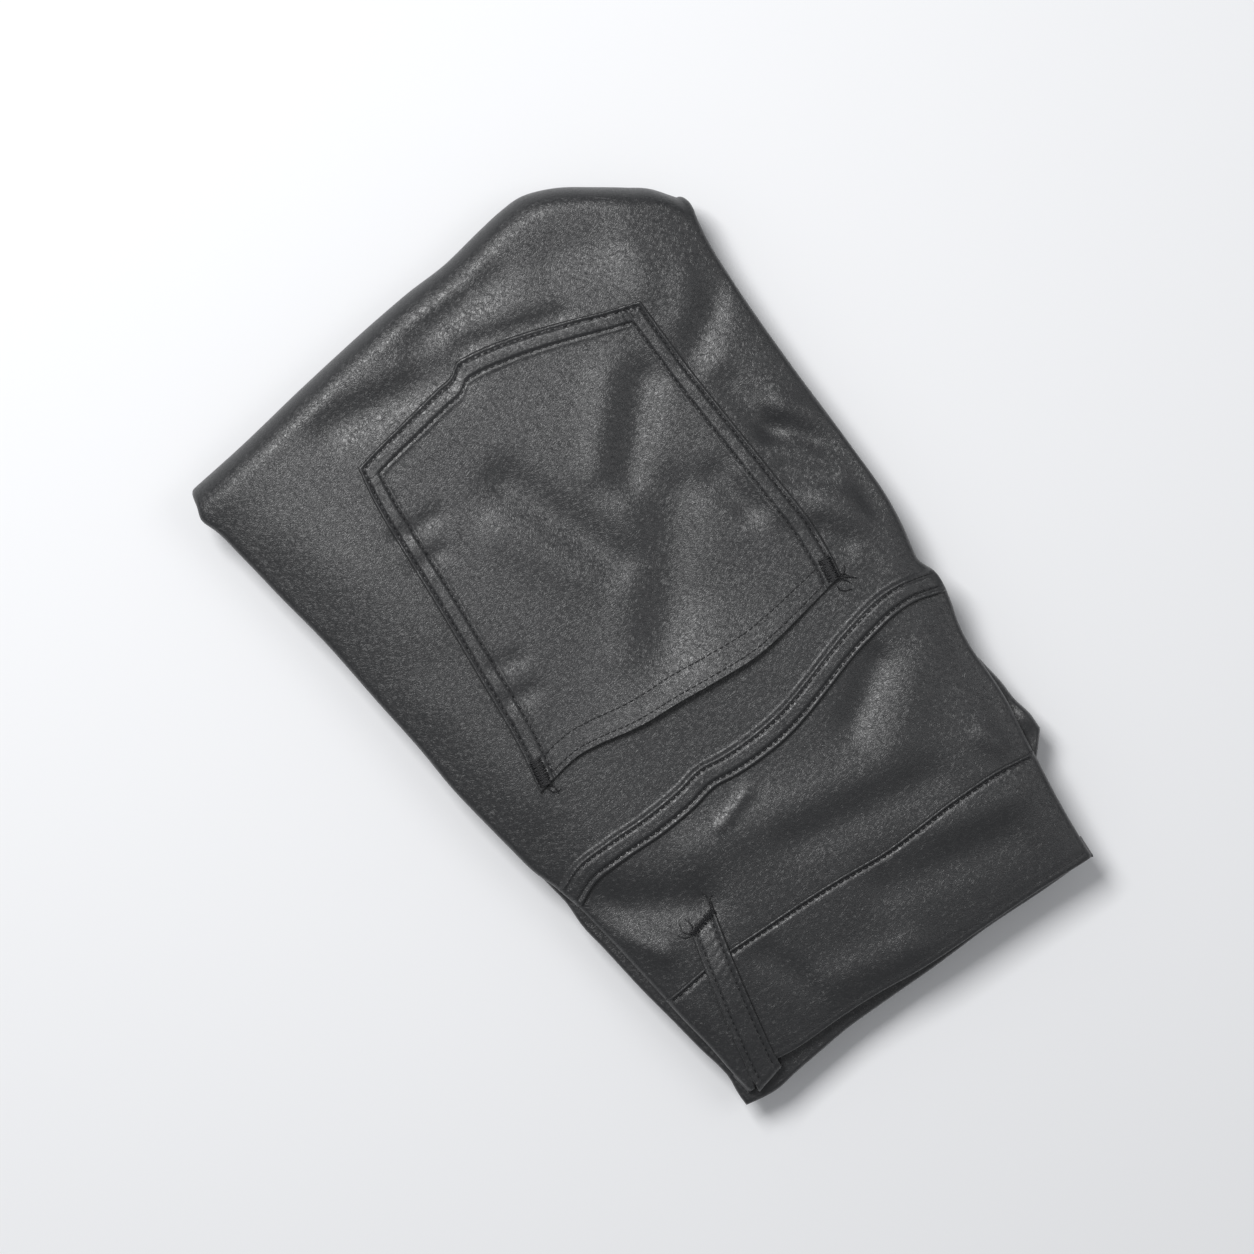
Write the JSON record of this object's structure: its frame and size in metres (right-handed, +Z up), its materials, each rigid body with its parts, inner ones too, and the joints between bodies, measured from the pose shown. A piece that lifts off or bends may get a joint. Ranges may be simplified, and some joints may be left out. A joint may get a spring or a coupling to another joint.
{
  "type": "coated trousers, folded",
  "caption": "Black coated-cloth trousers folded in half and rolled in thirds, back patch pocket, yoke, waistband and belt loop uppermost",
  "frame": {"origin": "middle of the footprint, on the surface the folded trousers rest on", "axes": "X across from the side seam to the centre back, Y down the leg from the waist to the fold at the thigh, Z up"},
  "size_m": [0.2336, 0.354, 0.0337],
  "materials": {
    "coated_cloth": "black coated cloth with a fine grain and a soft sheen",
    "cloth_inside": "matt black backing cloth",
    "thread": "black polyester sewing thread"
  },
  "bodies": {
    "root": {"hidden_layers": "cloth_inside", "back_panel": "coated_cloth", "back_yoke": "coated_cloth", "waistband": "coated_cloth", "waistband_facing": "cloth_inside", "back_pocket": "coated_cloth", "belt_loop": "coated_cloth", "other_back_edge": "coated_cloth", "other_yoke_edge": "coated_cloth", "other_waistband": "coated_cloth", "front_panel_corner": "coated_cloth"}
  },
  "joints": []
}
